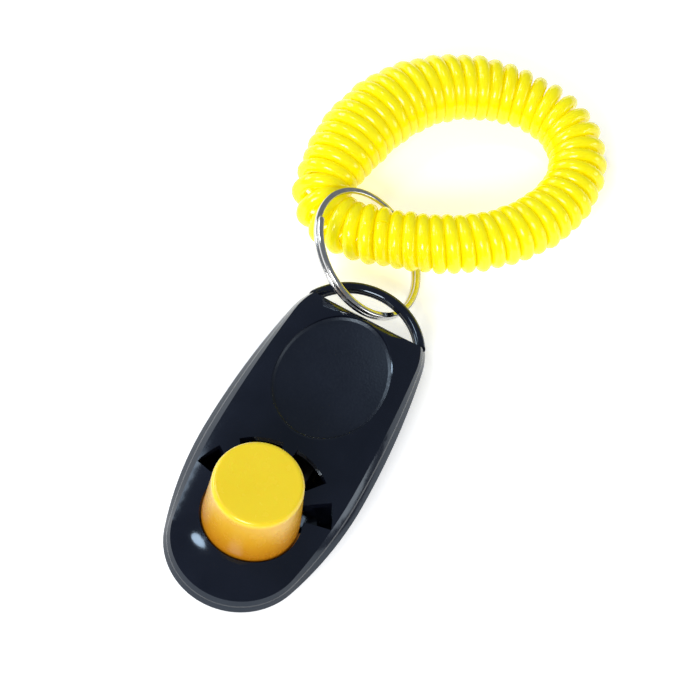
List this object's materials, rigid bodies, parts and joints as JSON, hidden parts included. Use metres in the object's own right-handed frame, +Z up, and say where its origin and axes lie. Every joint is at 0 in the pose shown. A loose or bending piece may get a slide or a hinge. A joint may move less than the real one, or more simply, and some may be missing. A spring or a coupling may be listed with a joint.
{
  "type": "clicker trainer",
  "caption": "Dog training clicker: slim black oblong case, large yellow push button over a steel reed, thumb dish, end loop, split ring and yellow coiled wristband.",
  "frame": {"origin": "centre of the case's flat underside, half way along and across the case (the loop's bar included)", "axes": "+X across the case, +Y along the case from the button to the end loop and the wristband, +Z up through the button"},
  "size_m": [0.0495, 0.1167, 0.022],
  "materials": {
    "black_shell": "gloss, fine satin in the dish",
    "yellow_button": "semi-gloss",
    "spring_steel": "rolled spring strip",
    "zinc_screw": "zinc plated",
    "ring_steel": "nickel plated",
    "yellow_coil": "glossy, slightly translucent"
  },
  "bodies": {
    "case": {"upper_shell": "black_shell", "lower_shell": "black_shell", "reed": "spring_steel", "reed_screw": "zinc_screw", "case_screws": "zinc_screw"},
    "button": {"button": "yellow_button"},
    "ring": {"split_ring": "ring_steel"},
    "wristband": {"wristband": "yellow_coil"}
  },
  "joints": [
    {"name": "button_press", "type": "slide", "parent": "case", "child": "button", "axis": [0, 0, -1], "range_m": [0, 0.002], "stiffness_N_per_m": 1200, "springref_m": -0.0005, "deforming": ["reed"]},
    {"name": "ring_swing", "type": "hinge", "parent": "case", "child": "ring", "pos_m": [0.00345, 0.03107, 0.0066], "axis": [-0.9539, 0.3, 0], "range_deg": [0, 45]},
    {"name": "wristband_swing", "type": "hinge", "parent": "ring", "child": "wristband", "pos_m": [-0.0051, 0.0416, 0.0069], "axis": [0.9601, 0.219, 0.174], "range_deg": [-45, 0]}
  ]
}
